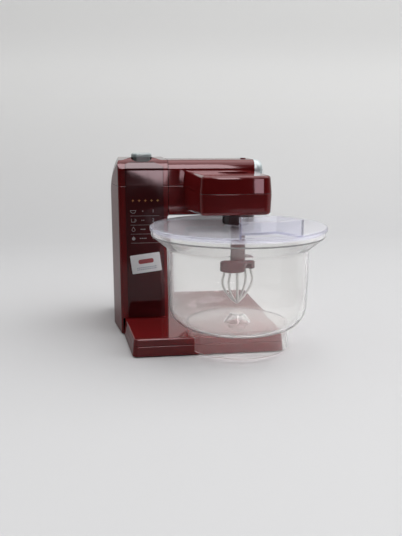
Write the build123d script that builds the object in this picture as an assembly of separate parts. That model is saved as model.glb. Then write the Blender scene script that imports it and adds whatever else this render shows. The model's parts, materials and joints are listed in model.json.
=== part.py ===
from build123d import *
import math
import os

# Toy food processor, in millimetres. The layout frame has X to the right, Y to the back and Z up,
# with zero at the front left corner of the base on the table. The last lines move it so that the
# origin lies under the middle of the whole toy.

# Values shared by many pieces
overrun = 5.0
shell_wall = 2.2
seam_gap = 0.2
seam_edge_radius = 0.5
fit_gap = 0.2
run_gap = 0.3
tower_arm_gap = 0.6

# Base plate
base_length = 153.0
base_depth = 195.0
base_height = 19.0
base_draft = 2.0
base_left_flare = 8.0
base_seam_height = 11.0
base_corner_radius = 4.0
base_flare_bend = 60.0
base_edge_radius = 1.6
base_rib_width = 1.6
base_rib_count = 4

# Rubber feet and the screws of the base
foot_height = 1.2
foot_radius = 6.0
foot_inset = 13.0
screw_inset = 27.0
screw_shank_radius = 1.4
screw_head_radius = 2.8
screw_head_height = 1.6
screw_length = 9.0
boss_radius = 4.0

# Tower
tower_front = 78.0
tower_back_overhang = 5.0
tower_right = 42.0
tower_left = -20.5
tower_front_left = -12.0
tower_bulge_back = 125.0
tower_cover_height = 28.0
tower_top_left = -11.0
tower_shoulder_drop = 37.0
tower_crown_rise = 2.8
tower_crown_run = 9.0
tower_crown_margin = 1.0
tower_crown_bend = 10.0
tower_front_left_radius = 3.0
tower_bulge_radius = 60.0
tower_back_radius = 14.0
tower_corner_radius = 10.0
shoulder_radius = 11.0
tower_back_top_radius = 16.0
shelf_drop = 11.0
shelf_depth = 34.0

# Front panel of the tower
panel_left = -4.3
panel_right = 36.9
panel_thickness = 1.2
panel_base_gap = 1.0
panel_left_drop = 4.2
panel_right_drop = 7.0
panel_peak_drop = 1.6
panel_edge_radius = 0.5

# Press button, its spring and the switch
button_width = 22.0
button_depth = 24.0
button_left = 3.0
button_front = 82.0
button_rise = 7.0
button_height = 12.0
button_corner_radius = 6.0
button_edge_radius = 2.0
button_cap_height = 4.4
button_cap_low_radius = 0.6
button_neck_inset = 1.6
button_travel = 3.0
button_tab_reach = 1.6
button_tab_length = 12.0
button_tab_height = 2.0
button_tab_setback = 4.0
button_stem_radius = 3.6
switch_width = 16.0
switch_depth = 14.0
switch_height = 13.0
spring_radius = 5.4
spring_wire_radius = 0.45
spring_turns = 6

# Battery compartment in the back of the tower
cell_radius = 7.2
cell_length = 49.0
cell_cap_radius = 2.7
cell_cap_height = 1.4
cell_gap = 1.0
cell_bottom = 40.0
holder_wall = 1.8
contact_thickness = 0.6
contact_radius = 4.5
door_margin = 3.0
door_thickness = 2.2
door_rib_width = 1.4
door_rib_height = 0.8
door_rib_count = 5

# Tilt axle of the arm
tilt_axis_y = 118.0
axle_radius = 7.0
axle_sleeve_wall = 4.0
axle_sleeve_length = 14.0
axle_washer_rim = 3.5
axle_washer_thickness = 2.5
axle_hole_radius = 3.4
arm_end_wall = 5.0
arm_seam_rise = 35.8

# Cross piece of the arm
barrel_lid_gap = 2.6
barrel_back = 154.0
barrel_end_reach = 28.7
barrel_front_bottom_radius = 11.0
barrel_back_bottom_radius = 28.0
barrel_back_top_radius = 24.0
barrel_nub_radius = 3.0
barrel_nub_height = 1.2
barrel_nub_inset = 9.0
barrel_nub_setback = 22.0
end_cap_length = 10.5
end_cap_edge_radius = 8.5
end_cap_lip_length = 3.0

# Head of the arm over the bowl
head_front_reach = 51.4
head_front_left_reach = 45.1
head_back_left_reach = 51.3
head_front_right_reach = 25.0
head_back_right_reach = 25.4
head_front_bow = 4.0
head_height = 37.0
head_front_lid_gap = 15.8
head_back_lid_gap = 9.3
head_left_corner_radius = 5.0
head_right_corner_radius = 12.0
head_edge_radius = 3.2
head_upper_draft = 5.0
head_lower_draft = 2.0
head_back_reach = 12.0
head_cap_shift_x = -5.3
head_cap_shift_y = 2.6
head_cap_radius = 15.5
head_cap_recess = 3.6
head_cap_floor = 1.4
head_cap_thickness = 1.2
head_cap_grip_width = 3.0
head_cap_grip_height = 1.0

# Bowl
bowl_wall = 2.0
bowl_floor_height = 26.3
bowl_taper = 1.8
bowl_floor_radius = 22.0
bowl_neck_radius = 73.6
bowl_flare = 15.9
bowl_flare_height = 13.0
bowl_rim_band = 5.1
bowl_rim_top = 127.1
bowl_neck_bend = 6.0
bowl_rim_bend = 1.5
skirt_outset = 4.4
skirt_wall = 2.0
skirt_bottom = 4.9
skirt_notch_gap = 1.0
skirt_notch_corner = 2.0
bump_base_radius = 15.0
bump_top_radius = 7.5
bump_height = 9.0

# Lid with its filling chute
lid_overhang = 1.3
lid_band_height = 3.9
lid_tower_overlap_x = 23.5
lid_tower_overlap_y = 34.2
lid_plate = 2.0
lid_band_width = 3.4
lid_lip_gap = 2.1
lid_lip_wall = 1.6
lid_lip_depth = 2.0
lid_hole_gap = 1.2
lid_collar_width = 2.4
lid_collar_height = 0.7
lid_edge_radius = 1.2
chute_start = -100.0
chute_end = -59.5
chute_depth = 34.8
chute_height = 14.8
chute_wall = 1.8
chute_edge_radius = 0.5

# Drive socket, whisk holder and whisk wires
socket_radius = 16.2
socket_lid_gap = 1.4
socket_edge_radius = 1.5
shaft_radius = 4.0
tang_radius = 5.0
tang_length = 6.0
stem_radius = 7.6
holder_lid_gap = 32.3
holder_height = 13.9
holder_length = 47.0
holder_width = 26.0
holder_angle = 50.0
holder_arch_radius = 7.5
holder_edge_radius = 6.5
wire_radius = 1.2
wire_circle = 15.5
wire_bulge = 19.8
wire_bulge_drop = 16.0
wire_length = 38.4
wire_straight = 2.0
wire_bulge_bend = 14.0
wire_tip_bend = 6.0
wire_spread = 30.0
wire_tip_radius = 2.0

# Gear train: pinion on the motor, compound gear on a pin, output gear on the drive shaft
gear_module = 0.8
gear_pressure_angle = 25.0
gear_backlash = 0.22
gear_addendum_share = 0.8
gear_dedendum_share = 1.1
flank_steps = 4
pinion_teeth = 10
wheel_teeth = 30
small_teeth = 12
output_teeth = 36
output_gear_rise = 1.6
gear_thickness = 4.0
gear_level_gap = 0.6
gear_pin_radius = 1.5
gear_pin_head_radius = 2.6
gear_pin_head_height = 0.8
compound_direction = 180.0
motor_direction = 120.0
motor_radius = 10.0
motor_flat_width = 15.4
motor_floor_gap = 0.8
motor_top_rise = 5.4
motor_shaft_radius = 1.0
gear_plate_drop = 4.5
gear_plate_thickness = 2.0
gear_plate_margin = 9.0
plate_post_radius = 3.0

# Leads from the cells and the switch, through the hollow axle, to the motor
lead_radius = 0.8
lead_bend = 4.0
lead_spacing = 2.6
lead_reach = 8.0

# Sizes worked out from those above
bowl_floor_corner = bowl_neck_radius - bowl_taper
bowl_rim_radius = bowl_neck_radius + bowl_flare
bowl_rim_low = bowl_rim_top - bowl_rim_band
bowl_neck_height = bowl_rim_low - bowl_flare_height
skirt_radius = bowl_floor_corner - bowl_floor_radius + skirt_outset
lid_radius = bowl_rim_radius + lid_overhang
lid_band_bottom = bowl_rim_top + fit_gap
lid_top = lid_band_bottom + lid_band_height
lid_lip_radius = bowl_rim_radius - bowl_wall - lid_lip_gap
chute_inner_radius = lid_radius - chute_depth
chute_top = lid_top + chute_height
bowl_axis_x = tower_right + lid_radius - lid_tower_overlap_x
bowl_axis_y = tower_front - lid_radius + lid_tower_overlap_y
seam_height = lid_top + arm_seam_rise
tower_back = base_depth + tower_back_overhang
tower_top = seam_height + tower_cover_height
tower_shoulder_height = tower_top - tower_shoulder_drop
shelf_height = seam_height - shelf_drop
button_top = tower_top + button_rise
crown_top = tower_top + tower_crown_rise
crown_left = button_left - tower_crown_margin
crown_right = button_left + button_width + tower_crown_margin
crown_back = button_front + button_depth + tower_crown_margin
axle_sleeve_radius = axle_radius + axle_sleeve_wall
axle_washer_radius = axle_radius + axle_washer_rim
barrel_bottom = lid_top + barrel_lid_gap
barrel_end = bowl_axis_x + barrel_end_reach
barrel_nub_x = barrel_end - barrel_nub_inset
barrel_nub_y = tower_front + barrel_nub_setback
head_front = bowl_axis_y - head_front_reach
head_front_left = bowl_axis_x - head_front_left_reach
head_back_left = bowl_axis_x - head_back_left_reach
head_front_right = bowl_axis_x + head_front_right_reach
head_back_right = bowl_axis_x + head_back_right_reach
head_bottom_front = lid_top + head_front_lid_gap
head_bottom_back = lid_top + head_back_lid_gap
head_top = head_bottom_front + head_height
head_cap_x = bowl_axis_x + head_cap_shift_x
head_cap_y = bowl_axis_y + head_cap_shift_y
socket_bottom = lid_top + socket_lid_gap
holder_top = lid_top - holder_lid_gap
holder_bottom = holder_top - holder_height
wire_bulge_height = holder_bottom - wire_bulge_drop
wire_tip_height = holder_bottom - wire_length
output_gear_bottom = seam_height + output_gear_rise
motor_bottom = head_bottom_front + shell_wall + motor_floor_gap
motor_top = seam_height + motor_top_rise
gear_plate_bottom = seam_height - gear_plate_drop
origin_x = (tower_left + bowl_axis_x + lid_radius) / 2
origin_y = (bowl_axis_y - lid_radius + tower_back) / 2
arm_left = tower_right + tower_arm_gap
button_bottom = button_top - button_height
button_centre_x = button_left + button_width / 2
button_centre_y = button_front + button_depth / 2
switch_top = shelf_height + shell_wall + switch_height
switch_back = button_centre_y + switch_depth / 2
axle_end = arm_left + arm_end_wall + run_gap + axle_washer_thickness
lead_low = seam_height - lead_spacing / 2
lead_high = seam_height + lead_spacing / 2
head_cap_seat = head_top - head_cap_recess
head_bottom_slope = (head_bottom_front - head_bottom_back) / (tower_front - head_front)
socket_back = bowl_axis_y + socket_radius
socket_top = head_bottom_front - head_bottom_slope * (socket_back - head_front) - tower_arm_gap
small_gear_distance = gear_module * (small_teeth + output_teeth) / 2
wheel_distance = gear_module * (pinion_teeth + wheel_teeth) / 2
compound_x = bowl_axis_x + small_gear_distance * math.cos(math.radians(compound_direction))
compound_y = bowl_axis_y + small_gear_distance * math.sin(math.radians(compound_direction))
motor_x = compound_x + wheel_distance * math.cos(math.radians(motor_direction))
motor_y = compound_y + wheel_distance * math.sin(math.radians(motor_direction))
wheel_bottom = output_gear_bottom + gear_thickness + gear_level_gap
wheel_top = wheel_bottom + gear_thickness
gear_plate_top = gear_plate_bottom + gear_plate_thickness
holder_back = tower_back - door_thickness - fit_gap
battery_left = (tower_left + tower_right) / 2 - 2 * cell_radius - cell_gap / 2
battery_right = battery_left + 4 * cell_radius + cell_gap
battery_top = cell_bottom + cell_length + cell_cap_height
holder_roof = battery_top + contact_thickness + holder_wall

low_corner = (Align.MIN, Align.MIN, Align.MIN)
on_bottom = (Align.CENTER, Align.CENTER, Align.MIN)


# Shapes that many pieces are cut from
def block(x_low, x_high, y_low, y_high, z_low, z_high):
    size = (x_high - x_low, y_high - y_low, z_high - z_low)
    return Pos(x_low, y_low, z_low) * Box(*size, align=low_corner)


def post(x, y, z_low, z_high, radius):
    return Pos(x, y, z_low) * Cylinder(radius, z_high - z_low, align=on_bottom)


def cross_rod(x_low, x_high, y, z, radius):
    lying = Rot(0, 90, 0) * Cylinder(radius, x_high - x_low, align=on_bottom)
    return Pos(x_low, y, z) * lying


def rounded_face(points, radii):
    return make_face(FilletPolyline(*points, radius=radii, close=True))


def side_profile(points, radii, x_low, x_high):
    """Points are (Y, Z) pairs, and the outline is drawn out along X."""
    face = rounded_face([(0, y, z) for y, z in points], radii)
    return Pos(x_low, 0, 0) * extrude(face, x_high - x_low, dir=(1, 0, 0))


def space_below(height):
    reach = base_length + lid_radius + tower_back
    return block(-reach, reach, -reach, reach, -overrun, height)


def space_above(height):
    reach = base_length + lid_radius + tower_back
    return block(-reach, reach, -reach, reach, height, tower_top + 2 * overrun + button_height)


def upper_half(form, height):
    """The part of a casing above its parting line, with the edge there rounded."""
    half = form & space_above(height)
    return fillet(half.faces().sort_by(Axis.Z)[0].edges(), seam_edge_radius)


def lower_half(form, height):
    """The part of a casing below its parting line, with the edge there rounded."""
    half = form & space_below(height)
    return fillet(half.faces().sort_by(Axis.Z)[-1].edges(), seam_edge_radius)


# Base plate
def base_outline():
    points = [
        (0, 0),
        (base_length, 0),
        (base_length, base_depth),
        (-base_left_flare, base_depth),
        (-base_left_flare, tower_front),
    ]
    radii = [base_corner_radius] * (len(points) - 1) + [base_flare_bend]
    return rounded_face(points, radii)


def base_form():
    height = base_height - foot_height
    slope = math.degrees(math.atan(base_draft / height))
    foot_face = Pos(0, 0, foot_height) * offset(base_outline(), base_draft)
    body = extrude(foot_face, height, taper=slope)
    top_edges = body.faces().sort_by(Axis.Z)[-1].edges()
    return fillet(top_edges, base_edge_radius)


def base_cavity():
    floor = foot_height + shell_wall
    face = Pos(0, 0, floor) * offset(base_outline(), -shell_wall)
    return extrude(face, base_height - shell_wall - floor)


def base_screw_places():
    right = base_length - screw_inset
    back = base_depth - screw_inset
    return [(screw_inset, screw_inset), (right, screw_inset), (right, back), (screw_inset, back)]


def base_upper_shell():
    shell = upper_half(base_form(), base_seam_height + seam_gap) - base_cavity()
    for x, y in base_screw_places():
        boss = post(x, y, base_seam_height + seam_gap, base_height - shell_wall, boss_radius)
        shell += boss
    for x, y in base_screw_places():
        pilot_top = foot_height + screw_head_height + screw_length + fit_gap
        shell -= post(x, y, base_seam_height, pilot_top, screw_shank_radius + fit_gap / 2)
    return shell


def base_lower_tray():
    tray = lower_half(base_form(), base_seam_height) - base_cavity()
    floor = foot_height + shell_wall
    rib_top = (floor + base_seam_height) / 2
    for index in range(base_rib_count):
        y = base_depth * (index + 1) / (base_rib_count + 1)
        tray += block(0, base_length - shell_wall, y, y + base_rib_width, floor, rib_top)
    for x, y in base_screw_places():
        tray += post(x, y, floor, base_seam_height, boss_radius)
    for x, y in base_screw_places():
        tray -= post(x, y, 0, base_seam_height + overrun, screw_shank_radius + fit_gap)
        tray -= post(x, y, 0, foot_height + screw_head_height + fit_gap, screw_head_radius + fit_gap)
    return tray


def base_screws():
    screws = []
    for x, y in base_screw_places():
        head_top = foot_height + screw_head_height + fit_gap
        head = post(x, y, head_top - screw_head_height, head_top, screw_head_radius)
        slot = block(
            x - screw_head_radius, x + screw_head_radius,
            y - screw_shank_radius / 3, y + screw_shank_radius / 3,
            head_top - screw_head_height - overrun, head_top - screw_head_height / 2,
        )
        shank = post(x, y, head_top, head_top + screw_length - fit_gap, screw_shank_radius)
        screws.append((head + shank) - slot)
    return screws


def rubber_feet():
    right = base_length - foot_inset
    back = base_depth - foot_inset
    places = [(foot_inset, foot_inset), (right, foot_inset), (right, back), (foot_inset, back)]
    feet = []
    for x, y in places:
        foot = post(x, y, 0, foot_height, foot_radius)
        low_edge = foot.edges().group_by(Axis.Z)[0]
        feet.append(fillet(low_edge, foot_height / 3))
    return feet


# Tower
def tower_outline():
    points = [
        (tower_front_left, tower_front),
        (tower_right, tower_front),
        (tower_right, tower_back),
        (tower_left, tower_back),
        (tower_left, tower_bulge_back),
    ]
    radii = [tower_front_left_radius, 0, tower_back_radius, tower_back_radius, tower_bulge_radius]
    return rounded_face(points, radii)


def tower_front_outline(grow):
    """The tower seen from the front, with the gentle rise of its top around the button."""
    left = tower_left - grow
    right = tower_right + grow
    top = tower_top + grow
    top_left = tower_top_left - grow
    shoulder = TangentArc((left, 0, tower_shoulder_height), (top_left, 0, top), tangent=(0, 0, 1))
    sides = FilletPolyline(
        (top_left, 0, top), (crown_left - tower_crown_run, 0, top), (crown_left, 0, crown_top + grow),
        (crown_right, 0, crown_top + grow), (crown_right + tower_crown_run, 0, top), (right, 0, top),
        (right, 0, 0), (left, 0, 0), (left, 0, tower_shoulder_height),
        radius=[tower_crown_bend] * 4 + [0] * 3,
    )
    return make_face(Curve() + shoulder + sides)


def tower_side_profile(grow):
    front = tower_front - grow
    back = tower_back + grow
    top = tower_top + grow
    points = [
        (front, 0), (back, 0), (back, top), (crown_back + tower_crown_run, top),
        (crown_back, crown_top + grow), (front, crown_top + grow),
    ]
    front_radius = shoulder_radius + tower_crown_rise + grow
    radii = [0, 0, tower_back_top_radius + grow, tower_crown_bend, tower_crown_bend, front_radius]
    return side_profile(points, radii, tower_left - overrun, tower_right + overrun)


def tower_form(grow):
    """The whole tower with its skin moved out by grow, or in where grow is negative."""
    plan = tower_outline()
    if grow:
        plan = offset(plan, grow, kind=Kind.INTERSECTION)
    column = extrude(plan, crown_top + overrun)
    front = extrude(tower_front_outline(grow), tower_back + overrun, dir=(0, 1, 0))
    body = column & front & tower_side_profile(grow)
    corner_x = tower_right - tower_corner_radius
    corner_y = tower_front + tower_corner_radius
    corner = block(corner_x, tower_right + overrun, tower_front - overrun, corner_y, 0, barrel_bottom)
    corner -= post(corner_x, corner_y, 0, barrel_bottom, tower_corner_radius + grow)
    return body - corner


def axle_sleeve():
    inner = tower_right - shell_wall
    return cross_rod(inner - axle_sleeve_length, inner, tilt_axis_y, seam_height, axle_sleeve_radius)


def axle_bore(gap):
    inner = tower_right - shell_wall - axle_sleeve_length
    return cross_rod(inner - overrun, tower_right + overrun, tilt_axis_y, seam_height, axle_radius + gap)


def tower_hollow():
    return tower_form(-shell_wall) - axle_sleeve() + axle_bore(fit_gap / 2)


def button_outline(grow):
    points = [
        (button_left - grow, button_front - grow),
        (button_left + button_width + grow, button_front - grow),
        (button_left + button_width + grow, button_front + button_depth + grow),
        (button_left - grow, button_front + button_depth + grow),
    ]
    return rounded_face(points, [button_corner_radius + grow] * len(points))


def button_well():
    """The hole that the button slides in."""
    outline = Pos(0, 0, button_bottom - overrun) * button_outline(run_gap)
    return extrude(outline, button_height + 2 * overrun)


def tower_top_cover():
    cover = upper_half(tower_form(0), seam_height + seam_gap) - tower_hollow()
    return cover - button_well()


def tower_lower_shell():
    shell = (lower_half(tower_form(0), seam_height) - tower_hollow()) & space_above(foot_height)
    inner = tower_form(-shell_wall)
    shelf = inner & block(tower_left, tower_right, tower_front, tower_front + shelf_depth,
                          shelf_height, shelf_height + shell_wall)
    shell += shelf
    shell += inner & block(tower_left, tower_right, tower_front, tower_back,
                           foot_height, foot_height + shell_wall)
    base_face = offset(base_outline(), base_draft + fit_gap)
    shell -= extrude(base_face, base_height)
    return shell - door_opening(fit_gap)


def tower_front_panel():
    skin = tower_form(panel_thickness) - tower_form(fit_gap / 2)
    low = base_height + panel_base_gap
    peak = tower_top - panel_peak_drop
    window = Polyline(
        (panel_left, 0, low), (panel_right, 0, low), (panel_right, 0, tower_top - panel_right_drop),
        (crown_right, 0, peak), (crown_left, 0, peak), (panel_left, 0, tower_top - panel_left_drop),
        close=True,
    )
    through = Pos(0, tower_front - overrun, 0) * make_face(window)
    panel = (skin & extrude(through, overrun + shoulder_radius, dir=(0, 1, 0))) - button_well()
    front_edges = panel.edges().filter_by(lambda edge: edge.center().Y < tower_front - panel_thickness / 2)
    return fillet(front_edges.filter_by(Axis.Z), panel_edge_radius)


# Press button, spring and switch
def power_button():
    cap_low = button_top - button_cap_height
    cap = extrude(Pos(0, 0, cap_low) * button_outline(0), button_cap_height)
    cap = fillet(cap.faces().sort_by(Axis.Z)[-1].edges(), button_edge_radius)
    cap = fillet(cap.faces().sort_by(Axis.Z)[0].edges(), button_cap_low_radius)
    neck = extrude(Pos(0, 0, button_bottom) * button_outline(-button_neck_inset), cap_low - button_bottom)
    tab_top = crown_top - shell_wall - 2 * fit_gap
    tab_front = button_centre_y - button_tab_length / 2 + button_tab_setback
    tabs = block(button_left - button_tab_reach, button_left + button_width + button_tab_reach,
                 tab_front, tab_front + button_tab_length, tab_top - button_tab_height, tab_top)
    stem_low = switch_top + button_travel + run_gap
    stem = post(button_centre_x, button_centre_y, stem_low, button_bottom, button_stem_radius)
    return cap + neck + tabs + stem


def switch_block():
    low = shelf_height + shell_wall
    body = block(button_centre_x - switch_width / 2, button_centre_x + switch_width / 2,
                 switch_back - switch_depth, switch_back, low, switch_top)
    body = chamfer(body.faces().sort_by(Axis.Z)[-1].edges(), shell_wall / 2)
    lug_length = switch_width + 4 * shell_wall
    lug = Box(lug_length, switch_depth / 2, shell_wall, align=on_bottom)
    return body + Pos(button_centre_x, button_centre_y, low) * lug


def button_spring():
    low = switch_top + spring_wire_radius
    height = button_bottom - spring_wire_radius - low
    path = Helix(height / spring_turns, height, spring_radius)
    section = Plane(path @ 0, z_dir=path % 0) * Circle(spring_wire_radius)
    coil = sweep(section, path, is_frenet=True)
    return Pos(button_centre_x, button_centre_y, low) * coil


# Battery compartment
def door_opening(gap):
    return block(battery_left - door_margin - gap, battery_right + door_margin + gap,
                 tower_back - door_thickness - gap, tower_back + overrun,
                 cell_bottom - door_margin - gap, battery_top + door_margin + gap)


def cell_places():
    y = holder_back - cell_gap - cell_radius
    left = battery_left + cell_radius
    return [(left, y), (left + 2 * cell_radius + cell_gap, y)]


def battery_cells():
    cells = []
    for x, y in cell_places():
        body = post(x, y, cell_bottom, cell_bottom + cell_length, cell_radius)
        body = fillet(body.edges(), cell_cap_height / 2)
        cells.append(body + post(x, y, cell_bottom + cell_length, battery_top, cell_cap_radius))
    return cells


def battery_holder():
    front = holder_back - 2 * cell_gap - 2 * cell_radius
    low = cell_bottom - contact_thickness
    high = battery_top + contact_thickness
    outer = block(battery_left - cell_gap - holder_wall, battery_right + cell_gap + holder_wall,
                  front - holder_wall, holder_back, low - holder_wall, holder_roof)
    room = block(battery_left - cell_gap, battery_right + cell_gap,
                 front, holder_back + overrun, low, high)
    middle = (battery_left + battery_right) / 2
    rib = block(middle - cell_gap / 3, middle + cell_gap / 3, front, front + cell_radius / 2, low, high)
    feet = block(battery_left, battery_right, front - holder_wall, front, base_height, low)
    return (outer - room + rib + feet) & tower_form(-shell_wall - fit_gap / 2)


def battery_contacts():
    plates = []
    for x, y in cell_places():
        plates.append(post(x, y, cell_bottom - contact_thickness, cell_bottom, contact_radius))
        plates.append(post(x, y, battery_top, battery_top + contact_thickness, contact_radius))
    return plates


def battery_door():
    door = door_opening(-fit_gap / 2) & tower_form(0)
    room = battery_right - battery_left
    for index in range(door_rib_count):
        z = cell_bottom + (index + 1) * cell_length / (3 * door_rib_count)
        door -= block(battery_left + room / 3, battery_right - room / 3, tower_back - door_rib_height,
                      tower_back + overrun, z, z + door_rib_width)
    screw_z = battery_top + door_margin - screw_head_radius
    lying = Pos((battery_left + battery_right) / 2, tower_back, screw_z) * Rot(90, 0, 0)
    door -= lying * Cylinder(screw_head_radius + fit_gap, 2 * screw_head_height)
    return door


def battery_door_screw():
    screw_z = battery_top + door_margin - screw_head_radius
    lying = Pos((battery_left + battery_right) / 2, tower_back, screw_z) * Rot(90, 0, 0)
    head = lying * Cylinder(screw_head_radius, screw_head_height, align=on_bottom)
    slot_half = screw_shank_radius / 3
    middle = (battery_left + battery_right) / 2
    slot = block(middle - screw_head_radius, middle + screw_head_radius,
                 tower_back - screw_head_height / 2, tower_back + overrun,
                 screw_z - slot_half, screw_z + slot_half)
    return head - slot


# Arm: cross piece, head and shells
def barrel_form(inset, x_low, x_high):
    points = [
        (tower_front + inset, barrel_bottom + inset),
        (barrel_back - inset, barrel_bottom + inset),
        (barrel_back - inset, tower_top - inset),
        (tower_front + inset, tower_top - inset),
    ]
    radii = [
        barrel_front_bottom_radius - inset,
        barrel_back_bottom_radius - inset,
        barrel_back_top_radius - inset,
        shoulder_radius - inset,
    ]
    return side_profile(points, radii, x_low, x_high)


def head_outline():
    """The head seen from above: its front is bowed, with a tight left corner and a round right one."""
    back = tower_front + head_back_reach
    front_left = (head_front_left, head_front + head_front_bow)
    front_right = (head_front_right, head_front + head_front_bow)
    middle = ((head_front_left + head_front_right) / 2, head_front)
    front = ThreePointArc(front_left, middle, front_right)
    sides = Polyline(front_right, (head_back_right, back), (head_back_left, back), front_left)
    face = make_face(Curve() + front + sides)
    right = face.vertices().filter_by(lambda corner: corner.X > bowl_axis_x)
    face = fillet(right.sort_by(Axis.Y)[0], head_right_corner_radius)
    left = face.vertices().filter_by(lambda corner: corner.X < bowl_axis_x - head_right_corner_radius)
    return fillet(left.sort_by(Axis.Y)[0], head_left_corner_radius)


def head_block(outline, low, high):
    """The head between two heights, drawn in from its parting line so that it leaves its mould."""
    face = Pos(0, 0, seam_height) * outline
    upper = extrude(face, high - seam_height, taper=head_upper_draft)
    return upper + extrude(face, seam_height - low, dir=(0, 0, -1), taper=head_lower_draft)


def head_form():
    body = head_block(head_outline(), head_bottom_back, head_top)
    reach = 2 * overrun
    wedge = [
        (head_front - reach, head_bottom_back - reach),
        (tower_front, head_bottom_back - reach),
        (tower_front, head_bottom_back),
        (head_front - reach, head_bottom_front + head_bottom_slope * reach),
    ]
    cutter = side_profile(wedge, [0] * len(wedge), head_back_left - reach, head_back_right + reach)
    body -= cutter
    front_faces = body.faces().filter_by(lambda face: abs(face.normal_at().Z) > math.cos(math.pi / 4))
    rim = front_faces.edges().filter_by(lambda edge: edge.center().Y < tower_front)
    return fillet(rim, head_edge_radius)


def head_cavity():
    outline = offset(head_outline(), -shell_wall)
    return head_block(outline, head_bottom_front + shell_wall, head_top - shell_wall)


def arm_form():
    outer = barrel_form(0, arm_left, barrel_end) + head_form()
    return outer + post(barrel_nub_x, barrel_nub_y, tower_top - shell_wall, tower_top + barrel_nub_height,
                        barrel_nub_radius)


def arm_hollow():
    inner = barrel_form(shell_wall, arm_left + arm_end_wall, barrel_end + overrun) + head_cavity()
    return inner + cross_rod(arm_left - overrun, arm_left + arm_end_wall + overrun, tilt_axis_y,
                             seam_height, axle_radius + run_gap)


def arm_upper_shell():
    shell = upper_half(arm_form(), seam_height + seam_gap) - arm_hollow()
    recess_radius = head_cap_radius + fit_gap
    shell += post(head_cap_x, head_cap_y, head_cap_seat - head_cap_floor, head_top - shell_wall / 2,
                  recess_radius + shell_wall)
    return shell - post(head_cap_x, head_cap_y, head_cap_seat, head_top + overrun, recess_radius)


def plate_post_places():
    reach = gear_plate_margin - plate_post_radius
    far_x = bowl_axis_x + reach
    return [
        (far_x, bowl_axis_y - reach),
        (far_x, bowl_axis_y + reach),
        (compound_x - reach, compound_y - reach),
    ]


def arm_lower_shell():
    shell = lower_half(arm_form(), seam_height) - arm_hollow()
    floor = head_bottom_front + shell_wall
    for x, y in plate_post_places():
        shell += post(x, y, floor - shell_wall / 2, gear_plate_bottom, plate_post_radius)
    shell += post(motor_x, motor_y, floor - shell_wall / 2, motor_bottom, motor_radius / 2)
    return shell - post(bowl_axis_x, bowl_axis_y, barrel_bottom, floor + overrun, shaft_radius + run_gap)


def domed_end(inset, x_low, x_high):
    end = barrel_form(inset, x_low, x_high)
    return fillet(end.faces().sort_by(Axis.X)[-1].edges(), end_cap_edge_radius - inset)


def arm_end_cap():
    tip = barrel_end + end_cap_length
    cap = domed_end(0, barrel_end, tip)
    cap += barrel_form(shell_wall + fit_gap, barrel_end - end_cap_lip_length, barrel_end + shell_wall)
    return cap - domed_end(2 * shell_wall, barrel_end - end_cap_lip_length - overrun, tip - shell_wall)


def head_cap():
    disc = post(head_cap_x, head_cap_y, head_cap_seat, head_cap_seat + head_cap_thickness, head_cap_radius)
    grip = Pos(head_cap_x, head_cap_y, head_cap_seat + head_cap_thickness) * Box(
        head_cap_radius, head_cap_grip_width, head_cap_grip_height, align=on_bottom)
    return disc + grip


def tilt_axle():
    inner = tower_right - shell_wall - axle_sleeve_length
    axle = cross_rod(inner, axle_end, tilt_axis_y, seam_height, axle_radius)
    axle += cross_rod(axle_end - axle_washer_thickness, axle_end, tilt_axis_y, seam_height,
                      axle_washer_radius)
    return axle - cross_rod(inner - overrun, axle_end + overrun, tilt_axis_y, seam_height,
                            axle_hole_radius)


# Leads
def lead(*points):
    path = FilletPolyline(*points, radius=lead_bend)
    section = Plane(path @ 0, z_dir=path % 0) * Circle(lead_radius)
    return sweep(section, path)


def supply_leads():
    cell_y = cell_places()[0][1]
    left_x = button_centre_x - lead_spacing
    right_x = button_centre_x + lead_spacing
    to_switch = lead((left_x, cell_y, holder_roof), (left_x, cell_y, lead_low),
                     (left_x, switch_back, lead_low))
    to_axle = lead((right_x, cell_y, holder_roof), (right_x, cell_y, lead_low),
                   (right_x, tilt_axis_y, lead_low), (axle_end, tilt_axis_y, lead_low))
    from_switch = lead((button_centre_x, switch_back, lead_high),
                       (button_centre_x, tilt_axis_y, lead_high), (axle_end, tilt_axis_y, lead_high))
    return [to_switch, to_axle, from_switch]


def motor_leads():
    motor_side = motor_x - motor_flat_width / 2
    turn_x = motor_side - lead_reach
    return [
        lead((axle_end + run_gap, tilt_axis_y, height), (turn_x, tilt_axis_y, height),
             (turn_x, motor_y, height), (motor_side, motor_y, height))
        for height in (lead_low, lead_high)
    ]


# Bowl and lid
def bowl_wall_face():
    path = FilletPolyline(
        (0, bowl_floor_height), (bowl_floor_corner, bowl_floor_height),
        (bowl_neck_radius, bowl_neck_height), (bowl_rim_radius, bowl_rim_low),
        (bowl_rim_radius, bowl_rim_top),
        radius=[bowl_floor_radius, bowl_neck_bend, bowl_rim_bend],
    )
    return make_face(offset(path, bowl_wall, side=Side.LEFT))


def upright(face):
    """A face drawn with radius as X and height as Y, stood up on the XZ plane."""
    return Rot(90, 0, 0) * face


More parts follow.
